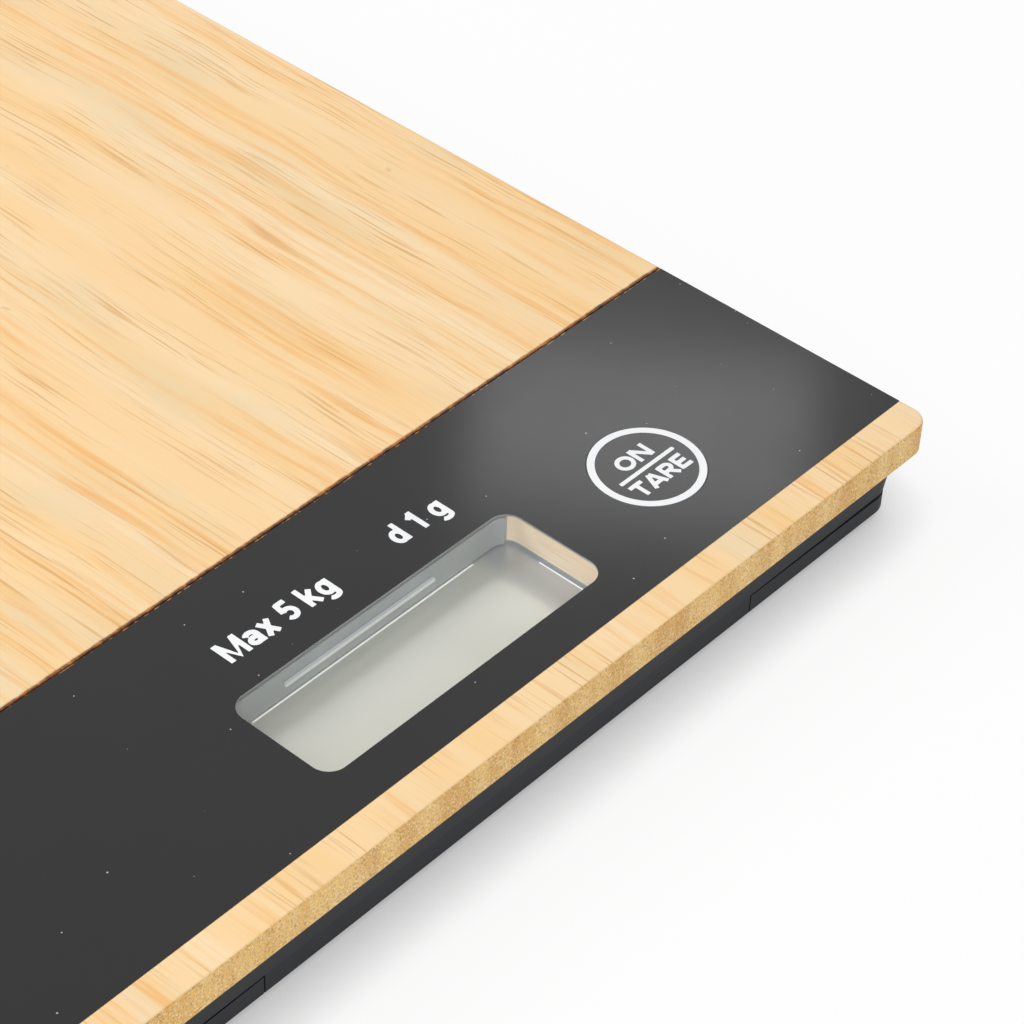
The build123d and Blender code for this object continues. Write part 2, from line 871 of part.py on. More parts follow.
os.makedirs("parts", exist_ok=True)
save("bamboo_board", make_board())
save("panel_film", make_film())
save("panel_adhesive", make_tape())
save("display_window", make_window())
save("on_tare_key", make_key())
save("key_plunger", make_plunger())
save("switch_stem", make_stem())
save("tact_switch", make_switch())
save("display_panel", make_display())
save("display_frame", make_frame())
save("contact_strips", make_contact_strips())
save("circuit_board", make_circuit())
save("chip_cover", make_chip_cover())
save("surface_parts", make_surface_parts())
save("circuit_screws", make_circuit_screws())
save("case", make_case())
save("case_screws", make_case_screws())
save("battery_door", make_door())
save("coin_cell", make_coin())
save("contact_positive", make_positive_contact())
save("contact_negative", make_negative_contact())
save("battery_leads", make_battery_leads())

foot = make_foot()
pad = make_pad()
foot_screws = make_foot_screws()
cell = make_cell()
cell_screws = make_cell_screws()
gauge = make_gauge()
for corner, (side_x, side_y) in corners.items():
    save("foot_" + corner, to_corner(foot, side_x, side_y))
    save("foot_pad_" + corner, to_corner(pad, side_x, side_y))
    save("foot_screws_" + corner, to_corner(foot_screws, side_x, side_y))
    save("load_cell_" + corner, to_corner(cell, side_x, side_y))
    save("strain_gauge_" + corner, to_corner(gauge, side_x, side_y))
    save("cell_lead_" + corner, make_cell_lead(side_x, side_y))
all_cell_screws = [to_corner(cell_screws, side_x, side_y) for side_x, side_y in corners.values()]
save("cell_screws", Compound(children=[s for group in all_cell_screws for s in group.solids()]))
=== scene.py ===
import json
import math

import bpy
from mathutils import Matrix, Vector

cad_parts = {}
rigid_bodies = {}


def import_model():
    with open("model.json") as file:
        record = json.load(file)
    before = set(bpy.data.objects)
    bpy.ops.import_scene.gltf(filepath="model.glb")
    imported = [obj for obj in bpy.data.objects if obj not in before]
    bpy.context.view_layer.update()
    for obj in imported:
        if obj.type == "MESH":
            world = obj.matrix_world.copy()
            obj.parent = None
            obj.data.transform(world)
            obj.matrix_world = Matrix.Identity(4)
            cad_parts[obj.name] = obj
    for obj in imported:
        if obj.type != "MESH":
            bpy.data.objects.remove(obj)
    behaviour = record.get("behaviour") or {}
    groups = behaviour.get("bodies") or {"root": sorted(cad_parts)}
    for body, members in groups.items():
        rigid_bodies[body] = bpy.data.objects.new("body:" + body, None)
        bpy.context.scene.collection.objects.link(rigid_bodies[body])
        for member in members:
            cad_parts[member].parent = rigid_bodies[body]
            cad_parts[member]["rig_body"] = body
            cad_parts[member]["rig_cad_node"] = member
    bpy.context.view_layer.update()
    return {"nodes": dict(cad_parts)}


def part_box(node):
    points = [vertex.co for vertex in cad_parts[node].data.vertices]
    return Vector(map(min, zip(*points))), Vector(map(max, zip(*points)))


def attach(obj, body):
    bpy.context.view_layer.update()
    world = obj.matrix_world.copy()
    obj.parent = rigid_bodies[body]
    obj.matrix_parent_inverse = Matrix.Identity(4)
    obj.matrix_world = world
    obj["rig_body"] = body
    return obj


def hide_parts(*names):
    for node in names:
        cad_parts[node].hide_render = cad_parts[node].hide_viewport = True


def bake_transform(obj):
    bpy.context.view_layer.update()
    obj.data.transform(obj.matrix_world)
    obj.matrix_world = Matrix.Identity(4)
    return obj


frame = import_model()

nodes = frame["nodes"]
mm = 0.001  # lengths in the dictionaries are in mm where no note says otherwise
recessGap = 0.15 * mm  # clearance between the film and its recess
print("frame loaded:", len(nodes), "nodes")


# small helpers
def hexColor(code):
    parts = [int(code[i : i + 2], 16) / 255 for i in (0, 2, 4)]
    linear = [c / 12.92 if c <= 0.04045 else ((c + 0.055) / 1.055) ** 2.4 for c in parts]
    return (*linear, 1.0)


def addNode(tree, kind, settings=None, links=None):
    node = tree.nodes.new("ShaderNode" + kind)
    for key, value in (settings or {}).items():
        if key == "stops":
            ramp = node.color_ramp
            while len(ramp.elements) < len(value):
                ramp.elements.new(0.5)
            for element, (place, code) in zip(ramp.elements, value):
                element.position = place
                element.color = hexColor(code)
        elif isinstance(key, str) and hasattr(node, key):
            setattr(node, key, value)
        else:
            node.inputs[key].default_value = value
    for key, socket in (links or {}).items():
        tree.links.new(socket, node.inputs[key])
    return node


def newMaterial(name):
    material = bpy.data.materials.new(name)
    material.use_nodes = True
    tree = material.node_tree
    coords = addNode(tree, "TexCoord")
    return material, tree, tree.nodes["Principled BSDF"], coords


def paint(material, *names):
    for name in names:
        obj = nodes[name] if isinstance(name, str) else name
        obj.data.materials.clear()
        obj.data.materials.append(material)


def deselectAll():
    bpy.ops.object.select_all(action="DESELECT")


def each(prefix):
    return [prefix + corner for corner in ("_front_left", "_front_right", "_rear_left", "_rear_right")]


# a stretched cloud with feature sizes in mm, cut between two levels and brought to 0 .. top
def streaks(tree, place, sizes, low=0.0, high=1.0, top=1.0, detail=2.0, rough=0.5, shift=(0, 0, 0)):
    scale = tuple(1 / (size * mm) for size in sizes)
    mapped = addNode(tree, "Mapping", {"Scale": scale, "Location": shift}, {"Vector": place})
    cloud = addNode(
        tree, "TexNoise", {"Scale": 1.0, "Detail": detail, "Roughness": rough}, {"Vector": mapped.outputs[0]}
    )
    cut = addNode(tree, "MapRange", {"From Min": low, "From Max": high, "To Max": top}, {0: cloud.outputs[0]})
    return cut.outputs[0]


# colours laid over each other, each through its own mask
def layered(tree, base, palette, *layers):
    shade = base
    for mask, tone in layers:
        mixed = addNode(tree, "Mix", {"data_type": "RGBA", 7: hexColor(palette[tone])}, {0: mask, 6: shade})
        shade = mixed.outputs[2]
    return shade


# laminated bamboo, planed and oiled: cream and honey bands, soft orange fibre streaks from front to rear,
# fine golden end grain on the front and rear edges, a scorched line where the panel's recess was cut
bamboo = {
    "cream": "FFE1B4",
    "honey": "FDD498",
    "haze": "EAD6AE",
    "streak": "F7BE76",
    "fibre": "D2943F",
    "knot": "BCA57B",
    "endPale": "EFC474",
    "endDark": "DBA650",
    "pore": "8A5618",
    "fleck": "FFEBC0",
    "scorch": [(0.0, "BE7630"), (0.45, "7C4514"), (1.0, "331A08")],
    "roughness": (0.4, 0.52),
    "ior": 1.5,
    "grooveStrength": 0.2,
    "grooveDepth": 0.04,
    "endTurn": (0.45, 0.8),
    "scorchReach": (0.4, 0.72),
    "cutSlack": 0.1,
    # painted light on the display well's walls: a paler colour and its share, a faint glow, and how far past
    # the window it reaches
    "paintedWallLight": "FFF3DC",
    "paintedWallLightShare": 0.45,
    "paintedWallLightGlow": 0.12,
    "paintedWallLightReach": 1.5,
}
# its patterns: sizes across, along and up in mm, the levels a cloud is cut between, and how strong it gets
bambooGrain = {
    "wander": {"sizes": (60, 60, 60), "top": 5 * mm},
    "bands": {"sizes": (8, 140, 8), "low": 0.34, "high": 0.66},
    "haze": {"sizes": (10, 30, 10), "low": 0.52, "high": 0.74, "top": 0.55, "shift": (5, 2, 1)},
    "streakLines": {
        "sizes": (1.3, 32, 1.3), "low": 0.46, "high": 0.66, "detail": 4.0, "rough": 0.6, "shift": (3, 1, 0)
    },
    "streakGroups": {
        "sizes": (6, 70, 6), "low": 0.45, "high": 0.6, "top": 0.9, "detail": 1.0, "shift": (7, 5, 0)
    },
    # single fibres are drawn about 0.25 mm wide so that they show
    "fibreLines": {"sizes": (0.4, 15, 0.4), "low": 0.55, "high": 0.7, "detail": 1.0, "shift": (1, 9, 2)},
    "fibrePatches": {
        "sizes": (5, 26, 5), "low": 0.36, "high": 0.62, "top": 0.55, "detail": 1.0, "shift": (4, 3, 8)
    },
    "knots": {
        "sizes": (2.6, 5.0, 2.6), "low": 0.76, "high": 0.84, "top": 0.5, "detail": 1.0, "shift": (2, 4, 6)
    },
    "lamellae": {"sizes": (4, 5, 40), "low": 0.36, "high": 0.64, "shift": (4, 0, 0)},
    "pores": {
        "sizes": (0.28, 0.6, 0.32), "low": 0.52, "high": 0.66, "top": 0.5, "detail": 1.0, "rough": 0.6
    },
    "flecks": {
        "sizes": (0.26, 0.6, 0.3), "low": 0.55, "high": 0.68, "top": 0.62, "detail": 1.0, "rough": 0.6,
        "shift": (9, 9, 9),
    },
    "ragged": {"sizes": (1.1, 1.1, 1.1), "top": 0.35 * mm, "detail": 3.0},
    "heat": {"sizes": (1.2, 1.2, 1.2), "low": 0.34, "high": 0.66, "detail": 4.0, "rough": 0.65},
}


def bambooMaterial():
    material, tree, shader, coords = newMaterial("laminatedBamboo")
    place = coords.outputs["Object"]
    # fibres wander a little: each point is looked up a few millimetres aside
    wander = streaks(tree, place, **bambooGrain["wander"])
    aside = addNode(tree, "CombineXYZ", None, {0: wander})
    grain = addNode(tree, "VectorMath", {"operation": "ADD"}, {0: place, 1: aside.outputs[0]}).outputs[0]

    bands = streaks(tree, grain, **bambooGrain["bands"])
    base = addNode(tree, "ValToRGB", {"stops": [(0.0, bamboo["cream"]), (1.0, bamboo["honey"])]}, {0: bands})
    haze = streaks(tree, grain, **bambooGrain["haze"])
    streakLines = streaks(tree, grain, **bambooGrain["streakLines"])
    streakGroups = streaks(tree, grain, **bambooGrain["streakGroups"])
    streakMask = addNode(tree, "Math", {"operation": "MULTIPLY"}, {0: streakLines, 1: streakGroups})
    fibreLines = streaks(tree, grain, **bambooGrain["fibreLines"])
    fibrePatches = streaks(tree, grain, **bambooGrain["fibrePatches"])
    fibreMask = addNode(tree, "Math", {"operation": "MULTIPLY"}, {0: fibreLines, 1: fibrePatches})
    knots = streaks(tree, grain, **bambooGrain["knots"])
    longGrain = layered(
        tree,
        base.outputs[0],
        bamboo,
        (haze, "haze"),
        (streakMask.outputs[0], "streak"),
        (fibreMask.outputs[0], "fibre"),
        (knots, "knot"),
    )

    lamellae = streaks(tree, place, **bambooGrain["lamellae"])
    endBase = addNode(
        tree, "ValToRGB", {"stops": [(0.0, bamboo["endDark"]), (1.0, bamboo["endPale"])]}, {0: lamellae}
    )
    pores = streaks(tree, place, **bambooGrain["pores"])
    flecks = streaks(tree, place, **bambooGrain["flecks"])
    endGrain = layered(tree, endBase.outputs[0], bamboo, (pores, "pore"), (flecks, "fleck"))
    normal = addNode(tree, "SeparateXYZ", None, {0: coords.outputs["Normal"]})
    facing = addNode(tree, "Math", {"operation": "ABSOLUTE"}, {0: normal.outputs[1]})
    low, high = bamboo["endTurn"]
    endMask = addNode(tree, "MapRange", {"From Min": low, "From Max": high}, {0: facing.outputs[0]})
    wood = addNode(tree, "Mix", {"data_type": "RGBA"}, {0: endMask.outputs[0], 6: longGrain, 7: endGrain})

    # scorch behind the recess: a ragged line, burnt from orange to near black along its length
    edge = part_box("panel_film")[1][1] + recessGap
    slack = bamboo["cutSlack"] * mm
    split = addNode(tree, "SeparateXYZ", None, {0: place})
    ragged = streaks(tree, place, **bambooGrain["ragged"])
    along = addNode(tree, "Math", {"operation": "ADD"}, {0: split.outputs[1], 1: ragged})
    behind = addNode(tree, "Math", {"operation": "GREATER_THAN", 1: edge - slack}, {0: split.outputs[1]})
    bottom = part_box("panel_adhesive")[0][2] - slack
    above = addNode(tree, "Math", {"operation": "GREATER_THAN", 1: bottom}, {0: split.outputs[2]})
    full, reach = bamboo["scorchReach"]
    fade = addNode(
        tree,
        "MapRange",
        {"From Min": edge + reach * mm, "From Max": edge + full * mm},
        {0: along.outputs[0]},
    )
    cutSide = addNode(tree, "Math", {"operation": "MULTIPLY"}, {0: behind.outputs[0], 1: above.outputs[0]})
    scorchMask = addNode(tree, "Math", {"operation": "MULTIPLY"}, {0: fade.outputs[0], 1: cutSide.outputs[0]})
    heat = streaks(tree, place, **bambooGrain["heat"])
    burnt = addNode(tree, "ValToRGB", {"stops": bamboo["scorch"]}, {0: heat})
    scorched = addNode(
        tree,
        "Mix",
        {"data_type": "RGBA"},
        {0: scorchMask.outputs[0], 6: wood.outputs[2], 7: burnt.outputs[0]},
    )

    # walls of the display well: milled across the fibres; painted light: painted paler and given a faint
    # glow, for the light that comes in through the clear film
    low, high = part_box("display_window")
    inside = addNode(tree, "Math", {"operation": "LESS_THAN", 1: bottom}, {0: split.outputs[2]}).outputs[0]
    for axis in (0, 1):
        span = {"operation": "COMPARE", 1: (low[axis] + high[axis]) / 2}
        span[2] = (high[axis] - low[axis]) / 2 + bamboo["paintedWallLightReach"] * mm
        within = addNode(tree, "Math", span, {0: split.outputs[axis]})
        both = addNode(tree, "Math", {"operation": "MULTIPLY"}, {0: inside, 1: within.outputs[0]})
        inside = both.outputs[0]
    share, glow = (
        addNode(tree, "Math", {"operation": "MULTIPLY", 1: bamboo[key]}, {0: inside}).outputs[0]
        for key in ("paintedWallLightShare", "paintedWallLightGlow")
    )
    finished = layered(tree, scorched.outputs[2], bamboo, (share, "paintedWallLight"))
    # painted light: the well's walls glow faintly though they are no lamp
    shader.inputs["Emission Color"].default_value = hexColor(bamboo["paintedWallLight"])
    tree.links.new(glow, shader.inputs["Emission Strength"])

    tree.links.new(finished, shader.inputs["Base Color"])
    smooth, coarse = bamboo["roughness"]
    rough = addNode(tree, "MapRange", {"To Min": smooth, "To Max": coarse}, {0: bands})
    tree.links.new(rough.outputs[0], shader.inputs["Roughness"])
    shader.inputs["IOR"].default_value = bamboo["ior"]
    grooves = addNode(tree, "Math", {"operation": "ADD"}, {0: fibreMask.outputs[0], 1: pores})
    relief = addNode(
        tree,
        "Bump",
        {"Strength": bamboo["grooveStrength"], "Distance": bamboo["grooveDepth"] * mm, "invert": True},
        {"Height": grooves.outputs[0]},
    )
    tree.links.new(relief.outputs[0], shader.inputs["Normal"])
    return material


# polyester panel film, printed black on the back under a hard coat: near black with a soft mirror sheen,
# a few white dust specks, faint rub marks in the gloss, clear grey cut walls and burnt chips at the rear edge
film = {
    "black": "0D0D10",
    "worn": "111112",
    "dust": "B4B4B6",
    "chip": "B98B52",
    "cut": "949C9E",
    "roughness": (0.1, 0.125),
    "ior": 1.46,
    "rubs": {"sizes": (16, 16, 16), "low": 0.3, "high": 0.7, "detail": 4.0, "rough": 0.6},
    "dustSpacing": 9.0,
    "dustSize": 0.13,
    "dustBare": 0.5,
    "chipReach": 0.16,
    "chips": {
        "sizes": (1.2, 1.2, 1.2), "low": 0.54, "high": 0.62, "top": 0.8, "detail": 3.0, "rough": 0.6,
        "shift": (3, 0, 0),
    },
    "wallTilt": 0.5,
}


def filmMaterial():
    material, tree, shader, coords = newMaterial("satinPanelFilm")
    place = coords.outputs["Object"]
    rubbed = streaks(tree, place, **film["rubs"])
    smooth, coarse = film["roughness"]
    rough = addNode(tree, "MapRange", {"To Min": smooth, "To Max": coarse}, {0: rubbed})
    tree.links.new(rough.outputs[0], shader.inputs["Roughness"])
    shader.inputs["IOR"].default_value = film["ior"]
    # dust: at most one speck a cell, about half of the cells bare
    cells = 1 / (film["dustSpacing"] * mm)
    spread = addNode(tree, "Mapping", {"Scale": (cells, cells, cells)}, {"Vector": place})
    flat = {"Scale": 1.0, "voronoi_dimensions": "2D"}
    cell = addNode(tree, "TexVoronoi", flat, {"Vector": spread.outputs[0]})
    pick = addNode(tree, "SeparateColor", None, {0: cell.outputs["Color"]})
    largest = film["dustSize"] / film["dustSpacing"]
    size = addNode(tree, "MapRange", {"From Min": film["dustBare"], "To Max": largest}, {0: pick.outputs[0]})
    speck = addNode(
        tree, "Math", {"operation": "LESS_THAN"}, {0: cell.outputs["Distance"], 1: size.outputs[0]}
    )
    bare = addNode(tree, "ValToRGB", {"stops": [(0.0, film["black"]), (1.0, film["worn"])]}, {0: rubbed})
    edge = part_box("panel_film")[1][1] - film["chipReach"] * mm
    split = addNode(tree, "SeparateXYZ", None, {0: place})
    rim = addNode(tree, "Math", {"operation": "GREATER_THAN", 1: edge}, {0: split.outputs[1]})
    broken = streaks(tree, place, **film["chips"])
    chips = addNode(tree, "Math", {"operation": "MULTIPLY"}, {0: rim.outputs[0], 1: broken})
    normal = addNode(tree, "SeparateXYZ", None, {0: coords.outputs["Normal"]})
    upright = addNode(tree, "Math", {"operation": "LESS_THAN", 1: film["wallTilt"]}, {0: normal.outputs[2]})
    colour = layered(
        tree,
        bare.outputs[0],
        film,
        (speck.outputs[0], "dust"),
        (chips.outputs[0], "chip"),
        (upright.outputs[0], "cut"),
    )
    tree.links.new(colour, shader.inputs["Base Color"])
    return material


# clear polyester window, the same film without its print: a faint grey tint, partly haze and partly a painted
# reflection standing for the veil of bright surroundings on the sheet, and a soft reflection
window = {
    # partly painted reflection: a grey tint at low alpha laid over what lies under the window
    "haze": ("9A9EA0", "B2B5B6"),
    "cloud": {"sizes": (9, 9, 9), "low": 0.3, "high": 0.7},
    "roughness": 0.16,
    "ior": 1.46,
    "alpha": 0.14,
}


def windowMaterial():
    material, tree, shader, coords = newMaterial("clearFilmWindow")
    haze = streaks(tree, coords.outputs["Object"], **window["cloud"])
    dark, pale = window["haze"]
    tint = addNode(tree, "ValToRGB", {"stops": [(0.0, dark), (1.0, pale)]}, {0: haze})
    tree.links.new(tint.outputs[0], shader.inputs["Base Color"])
    shader.inputs["Roughness"].default_value = window["roughness"]
    shader.inputs["IOR"].default_value = window["ior"]
    shader.inputs["Alpha"].default_value = window["alpha"]
    return material


# liquid crystal glass at rest: pale grey-green, half matt polariser and half silvery backing,
# so that it mirrors the well's walls softly
display = {
    "tone": ("EAEBDD", "F5F5EA"),
    # painted shade near the right wall: its colour, then the widths in mm where it is full and where it ends
    "shade": "BEC5CD",
    "shadeWidth": (2.2, 7.0),
    "cloud": {"sizes": (24, 14, 14), "low": 0.3, "high": 0.7, "detail": 1.0},
    "silver": 0.5,
    "roughness": 0.3,
    "grain": {"sizes": (0.1, 0.1, 0.1), "detail": 1.0},
    "grainStrength": 0.04,
    "grainDepth": 0.01,
}


def displayMaterial():
    material, tree, shader, coords = newMaterial("greyLiquidCrystal")
    place = coords.outputs["Object"]
    cloud = streaks(tree, place, **display["cloud"])
    dark, pale = display["tone"]
    tone = addNode(tree, "ValToRGB", {"stops": [(0.0, dark), (1.0, pale)]}, {0: cloud})
    # painted shade: greyer and a little bluer towards the right wall
    full, reach = display["shadeWidth"]
    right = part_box("display_window")[1][0]
    split = addNode(tree, "SeparateXYZ", None, {0: place})
    near = addNode(
        tree,
        "MapRange",
        {"interpolation_type": "SMOOTHSTEP", "From Min": right - reach * mm, "From Max": right - full * mm},
        {0: split.outputs[0]},
    )
    colour = layered(tree, tone.outputs[0], display, (near.outputs[0], "shade"))
    tree.links.new(colour, shader.inputs["Base Color"])
    shader.inputs["Metallic"].default_value = display["silver"]
    shader.inputs["Roughness"].default_value = display["roughness"]
    grain = streaks(tree, place, **display["grain"])
    bump = {"Strength": display["grainStrength"], "Distance": display["grainDepth"] * mm}
    relief = addNode(tree, "Bump", bump, {"Height": grain})
    tree.links.new(relief.outputs[0], shader.inputs["Normal"])
    return material


# a moulded or plated finish: two close tones in a cloud that also shifts the gloss, a fine grain in relief;
# cloud and grain sizes and the grain's depth in mm
finishRule = {"cut": (0.3, 0.7), "detail": 3.0, "glossShift": (-0.04, 0.05), "grainStrength": 0.3}


def plainFinish(name, tones, rough, cloud, grain, depth, metallic=0.0, ior=1.5):
    material, tree, shader, coords = newMaterial(name)
    place = coords.outputs["Object"]
    low, high = finishRule["cut"]
    clouds = streaks(tree, place, (cloud,) * 3, low, high, detail=finishRule["detail"])
    dark, pale = tones
    tone = addNode(tree, "ValToRGB", {"stops": [(0.0, dark), (1.0, pale)]}, {0: clouds})
    tree.links.new(tone.outputs[0], shader.inputs["Base Color"])
    glossy, dull = (rough + shift for shift in finishRule["glossShift"])
    gloss = addNode(tree, "MapRange", {"To Min": glossy, "To Max": dull}, {0: clouds})
    tree.links.new(gloss.outputs[0], shader.inputs["Roughness"])
    grains = streaks(tree, place, (grain,) * 3)
    bump = {"Strength": finishRule["grainStrength"], "Distance": depth * mm}
    relief = addNode(tree, "Bump", bump, {"Height": grains})
    tree.links.new(relief.outputs[0], shader.inputs["Normal"])
    if metallic:
        shader.inputs["Metallic"].default_value = metallic
    else:
        shader.inputs["IOR"].default_value = ior
    return material


# grey polystyrene display frame, smooth from the tool; the bead on its lip carries a painted highlight, near
# white
frameGrey = {
    "finish": {
        "tones": ("9AA5AA", "AAB4B8"), "rough": 0.3, "cloud": 6, "grain": 0.3, "depth": 0.005, "ior": 1.59
    },
    "beadHighlight": "F6FBFF",
    "beadStep": 0.05,
    "beadAbove": 0.5,
    "beadEnd": 18,
}


def frameMaterial():
    material = plainFinish("greyPolystyrene", **frameGrey["finish"])
    tree = material.node_tree
    target = tree.nodes["Principled BSDF"].inputs["Base Color"]
    place = addNode(tree, "TexCoord").outputs["Object"]
    split = addNode(tree, "SeparateXYZ", None, {0: place})
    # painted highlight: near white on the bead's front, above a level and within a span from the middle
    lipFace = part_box("display_window")[1][1] - frameGrey["beadStep"] * mm
    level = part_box("bamboo_board")[0][2] + frameGrey["beadAbove"] * mm
    proud = addNode(tree, "Math", {"operation": "LESS_THAN", 1: lipFace}, {0: split.outputs[1]})
    above = addNode(tree, "Math", {"operation": "GREATER_THAN", 1: level}, {0: split.outputs[2]})
    aside = addNode(tree, "Math", {"operation": "ABSOLUTE"}, {0: split.outputs[0]})
    beadEnd = frameGrey["beadEnd"] * mm
    within = addNode(tree, "Math", {"operation": "LESS_THAN", 1: beadEnd}, {0: aside.outputs[0]})
    front = addNode(tree, "Math", {"operation": "MULTIPLY"}, {0: proud.outputs[0], 1: above.outputs[0]})
    beadHighlight = addNode(tree, "Math", {"operation": "MULTIPLY"}, {0: front.outputs[0], 1: within.outputs[0]})
    tone = target.links[0].from_socket
    tree.links.new(layered(tree, tone, frameGrey, (beadHighlight.outputs[0], "beadHighlight")), target)
    return material


paint(bambooMaterial(), "bamboo_board")
paint(filmMaterial(), "panel_film", "on_tare_key")
paint(windowMaterial(), "display_window")
paint(displayMaterial(), "display_panel")
paint(frameMaterial(), "display_frame")
finishes = {
    # moulded ABS from a spark-eroded tool: near black and matt, with a fine even grain
    "mouldedBlackAbs": (
        {
            "tones": ("0B0D12", "12151A"), "rough": 0.63, "cloud": 18, "grain": 0.35, "depth": 0.012,
            "ior": 1.46,
        },
        ["case", "battery_door", *each("foot")],
    ),
    # white acrylic adhesive on a thin carrier
    "adhesiveFilm": (
        {"tones": ("D8D5C8", "E4E1D6"), "rough": 0.6, "cloud": 6, "grain": 0.4, "depth": 0.01},
        ["panel_adhesive"],
    ),
    # layered silicone connector strips: dull pink
    "connectorSilicone": (
        {"tones": ("A85C5C", "C98080"), "rough": 0.6, "cloud": 1.2, "grain": 0.3, "depth": 0.01},
        ["contact_strips"],
    ),
    # glass-fibre laminate under green lacquer: a soft shine
    "greenLaminate": (
        {"tones": ("0E4A27", "17603A"), "rough": 0.4, "cloud": 4, "grain": 0.5, "depth": 0.02},
        ["circuit_board"],
    ),
    # black epoxy drop over the chip: glossy as it set
    "chipEpoxy": (
        {"tones": ("101011", "18181A"), "rough": 0.25, "cloud": 3, "grain": 0.4, "depth": 0.01},
        ["chip_cover"],
    ),
    # fired ceramic chip parts: tan and dull
    "chipCeramic": (
        {"tones": ("8C7458", "A88F70"), "rough": 0.5, "cloud": 0.8, "grain": 0.2, "depth": 0.01},
        ["surface_parts"],
    ),
    # zinc-plated steel screws, tumbled: a cool grey sheen
    "zincPlatedSteel": (
        {
            "tones": ("9C9DA0", "B9BABB"), "rough": 0.32, "cloud": 2, "grain": 0.2, "depth": 0.01,
            "metallic": 1.0,
        },
        ["circuit_screws", "case_screws", "cell_screws", *each("foot_screws")],
    ),
    # nickel-plated spring steel load cells: warm grey metal
    "nickelSpringSteel": (
        {
            "tones": ("A9A69F", "C4C1B8"), "rough": 0.3, "cloud": 5, "grain": 0.3, "depth": 0.01,
            "metallic": 1.0,
        },
        each("load_cell"),
    ),
    # white silicone seal over each strain gauge: soft, slightly lumpy
    "gaugeSilicone": (
        {"tones": ("E2E1DC", "F0EFEA"), "rough": 0.5, "cloud": 2, "grain": 0.5, "depth": 0.03},
        each("strain_gauge"),
    ),
    # soft vinyl lead sheath: dark and smooth
    "leadVinyl": (
        {"tones": ("26262A", "36363A"), "rough": 0.45, "cloud": 3, "grain": 0.4, "depth": 0.01},
        ["battery_leads", *each("cell_lead")],
    ),
    # non-slip rubber pads: dull, with a fine pebble
    "padRubber": (
        {"tones": ("232323", "303030"), "rough": 0.75, "cloud": 4, "grain": 0.6, "depth": 0.05},
        each("foot_pad"),
    ),
    # stainless coin cell can, drawn and polished: bright
    "stainlessCan": (
        {
            "tones": ("B4B4B2", "CFCFCD"), "rough": 0.24, "cloud": 4, "grain": 0.3, "depth": 0.005,
            "metallic": 1.0,
        },
        ["coin_cell"],
    ),
    # nickel-plated bronze springs: a faint warm tint
    "platedBronze": (
        {
            "tones": ("B9AE98", "CFC6B2"), "rough": 0.3, "cloud": 2, "grain": 0.2, "depth": 0.005,
            "metallic": 1.0,
        },
        ["contact_positive", "contact_negative"],
    ),
    # black nylon switch: dull
    "switchNylon": (
        {"tones": ("1C1C1D", "262627"), "rough": 0.5, "cloud": 2, "grain": 0.3, "depth": 0.01},
        ["tact_switch", "switch_stem"],
    ),
    # white acetal plunger: waxy
    "plungerAcetal": (
        {"tones": ("DEDDD8", "EAE9E5"), "rough": 0.4, "cloud": 3, "grain": 0.4, "depth": 0.01},
        ["key_plunger"],
    ),
}
for name, (finish, painted) in finishes.items():
    paint(plainFinish(name, **finish), *painted)
print("finishes on the CAD nodes")

# load cells: each cell and its gauge are copied, their doubled points merged and their faces shaded flat,
# and the copies stand in for the hidden CAD nodes. The bar's edge and the tongue's end are measured
# from the cell's middle towards the inside, in mm
cellBend = {
    "slots": {"load_cell": "cell_steel", "strain_gauge": "gauge_seal"},
    "barEdge": 8.5,
    "tongueEnd": 7.0,
    "merge": 0.001,
}
for corner in each(""):
    low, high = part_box("load_cell" + corner)
    for kind, slot in cellBend["slots"].items():
        deselectAll()
        nodes[kind + corner].select_set(True)
        bpy.context.view_layer.objects.active = nodes[kind + corner]
        bpy.ops.object.duplicate()
        piece = bpy.context.object
        bpy.ops.object.parent_clear(type="CLEAR_KEEP_TRANSFORM")
        del piece["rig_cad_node"], piece["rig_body"]
        bpy.ops.object.mode_set(mode="EDIT")
        bpy.ops.mesh.select_all(action="SELECT")
        bpy.ops.mesh.remove_doubles(threshold=cellBend["merge"] * mm)
        bpy.ops.object.mode_set(mode="OBJECT")
        bpy.ops.object.shade_flat()
        piece.name = piece.data.name = "bent_" + kind + corner
        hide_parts(kind + corner)
        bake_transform(piece)


